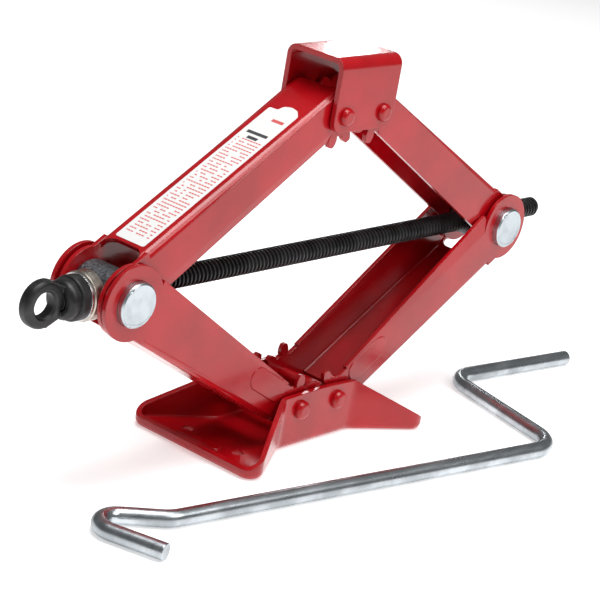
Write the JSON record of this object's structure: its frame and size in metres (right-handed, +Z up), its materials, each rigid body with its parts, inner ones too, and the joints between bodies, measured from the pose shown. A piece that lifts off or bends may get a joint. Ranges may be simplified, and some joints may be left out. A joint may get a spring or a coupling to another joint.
{
  "type": "scissor stabilizer jack",
  "caption": "Scissor jack with geared channel arms, a lifting screw with a crank eye, and a loose bent crank handle.",
  "frame": {"origin": "on the ground, under the middle of the base plate", "axes": "+Z up; X along the lifting screw with the crank eye at -X; Y across the jack"},
  "size_m": [0.4738, 0.1559, 0.221],
  "materials": {
    "red_paint": "glossy enamel",
    "plated_steel": "bright zinc plate",
    "forged_pin": "rough grey with bare ends",
    "black_steel": "satin black oxide",
    "bearing_steel": "warm turned steel",
    "label_film": "matt white film"
  },
  "bodies": {
    "base": {"base_plate": "red_paint", "base_rivet_left": "red_paint", "base_rivet_right": "red_paint"},
    "lower_left": {"lower_left_arm": "red_paint"},
    "lower_right": {"lower_right_arm": "red_paint"},
    "upper_left": {"upper_left_arm": "red_paint", "label": "label_film"},
    "upper_right": {"upper_right_arm": "red_paint"},
    "head": {"top_bracket": "red_paint", "top_rivet_left": "red_paint", "top_rivet_right": "red_paint"},
    "left_pin": {"left_trunnion": "forged_pin", "bearing_cup": "bearing_steel"},
    "right_pin": {"right_trunnion": "forged_pin"},
    "screw_shaft": {"screw": "black_steel", "thrust_collar": "black_steel", "thrust_washer": "bearing_steel", "crank_eye": "black_steel"},
    "ball_set": {"ball_cage": "bearing_steel", "bearing_balls": "bearing_steel"},
    "crank": {"crank_handle": "plated_steel"}
  },
  "joints": [
    {"name": "lift", "type": "hinge", "parent": "base", "child": "lower_left", "pos_m": [-0.016, 0, 0.0225], "axis": [0, 1, 0], "range_deg": [-22, 40]},
    {"name": "lower_right_pivot", "type": "hinge", "parent": "base", "child": "lower_right", "pos_m": [0.016, 0, 0.0225], "axis": [0, 1, 0], "range_deg": [-40, 22]},
    {"name": "upper_left_pivot", "type": "hinge", "parent": "lower_left", "child": "upper_left", "pos_m": [-0.15947, 0, 0.106], "axis": [0, 1, 0], "range_deg": [-80, 44]},
    {"name": "upper_right_pivot", "type": "hinge", "parent": "lower_right", "child": "upper_right", "pos_m": [0.15947, 0, 0.106], "axis": [0, 1, 0], "range_deg": [-44, 80]},
    {"name": "head_pivot", "type": "hinge", "parent": "upper_left", "child": "head", "pos_m": [-0.016, 0, 0.1895], "axis": [0, 1, 0], "range_deg": [-22, 40]},
    {"name": "left_pin_pivot", "type": "hinge", "parent": "lower_left", "child": "left_pin", "pos_m": [-0.15947, 0, 0.106], "axis": [0, 1, 0], "range_deg": [-40, 22]},
    {"name": "right_pin_pivot", "type": "hinge", "parent": "lower_right", "child": "right_pin", "pos_m": [0.15947, 0, 0.106], "axis": [0, 1, 0], "range_deg": [-22, 40]},
    {"name": "screw_turn", "type": "hinge", "parent": "left_pin", "child": "screw_shaft", "pos_m": [-0.15947, 0, 0.106], "axis": [1, 0, 0], "continuous": true},
    {"name": "ball_set_turn", "type": "hinge", "parent": "left_pin", "child": "ball_set", "pos_m": [-0.15947, 0, 0.106], "axis": [1, 0, 0], "continuous": true},
    {"name": "crank_set_aside", "type": "slide", "parent": "base", "child": "crank", "axis": [0, -1, 0], "range_m": [0, 0.15]}
  ],
  "couplings": [
    {"joint": "lower_right_pivot", "follows": "lift", "ratio": -1},
    {"joint": "upper_left_pivot", "follows": "lift", "ratio": -2},
    {"joint": "upper_right_pivot", "follows": "lift", "ratio": 2},
    {"joint": "head_pivot", "follows": "lift", "ratio": 1},
    {"joint": "left_pin_pivot", "follows": "lift", "ratio": -1},
    {"joint": "right_pin_pivot", "follows": "lift", "ratio": 1},
    {"joint": "ball_set_turn", "follows": "screw_turn", "ratio": 0.5}
  ]
}
